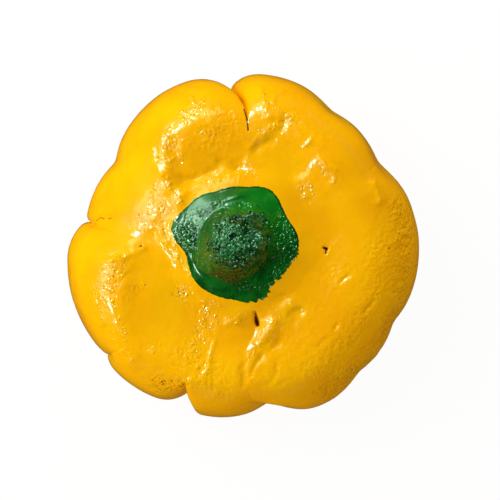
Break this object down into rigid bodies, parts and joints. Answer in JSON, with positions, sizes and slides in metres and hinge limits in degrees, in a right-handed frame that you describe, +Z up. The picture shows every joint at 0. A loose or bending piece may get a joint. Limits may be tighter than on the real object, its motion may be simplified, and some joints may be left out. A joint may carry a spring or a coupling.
{
  "type": "pumpkin",
  "caption": "Small squat pumpkin with uneven lobes, glossy yellow paint over the fruit, and a stubby green stem on a flared five-cornered foot.",
  "frame": {"origin": "centre of the bounding box's underside, on the surface that the pumpkin rests on", "axes": "+Z up out of the stem end, +Y towards the deepest crease, +X to the right of it seen from above"},
  "size_m": [0.1212, 0.1179, 0.0755],
  "materials": {
    "yellow_paint": "thick glossy yellow craft paint over a natural rind, with brush marks and orange peel",
    "green_paint": "glossy green craft paint over a corky stem, thin on the stump's lower side"
  },
  "bodies": {
    "root": {"fruit": "yellow_paint", "stem": "green_paint"}
  },
  "joints": []
}
